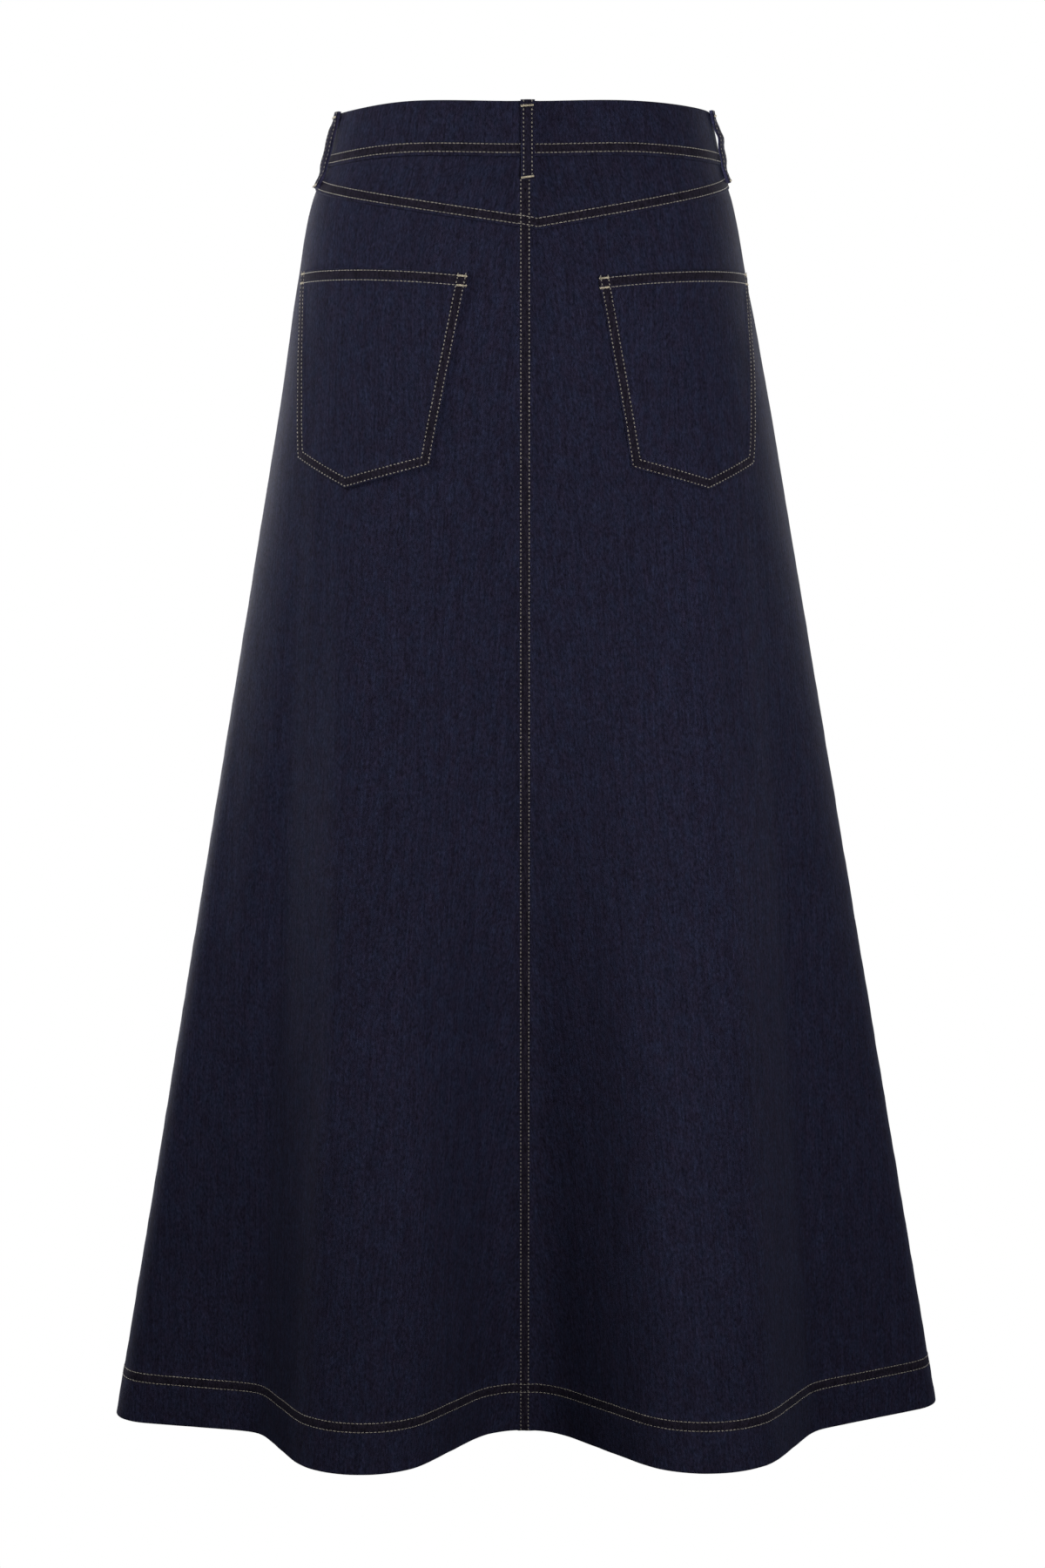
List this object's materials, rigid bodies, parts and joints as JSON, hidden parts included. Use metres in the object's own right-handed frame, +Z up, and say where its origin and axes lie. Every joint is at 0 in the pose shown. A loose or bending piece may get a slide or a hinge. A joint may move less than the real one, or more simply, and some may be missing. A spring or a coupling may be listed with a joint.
{
  "type": "denim skirt",
  "caption": "Long A-line denim skirt with a contoured waistband, belt loops, a V-shaped back yoke, patch pockets, flared panels and a turned hem.",
  "frame": {"origin": "centre of the waist opening at half the height of the waistband, where the wearer's waist holds the skirt", "axes": "+Z up along the wearer, -Y the wearer's back, +X the wearer's right"},
  "size_m": [0.6272, 0.3819, 0.9813],
  "materials": {
    "denim": "raw dark indigo twill, matt with a faint sheen at the sides",
    "thread": "golden tan topstitching thread",
    "button_metal": "antique, satin"
  },
  "bodies": {
    "root": {"waistband": "denim", "yoke_right": "denim", "yoke_left": "denim", "back_panel_right": "denim", "back_panel_left": "denim", "front_panel_right": "denim", "front_panel_left": "denim", "pocket_left": "denim", "pocket_right": "denim", "belt_loop_back": "denim", "belt_loop_side_right": "denim", "belt_loop_front_right": "denim", "belt_loop_front_left": "denim", "belt_loop_side_left": "denim", "button": "button_metal"}
  },
  "joints": []
}
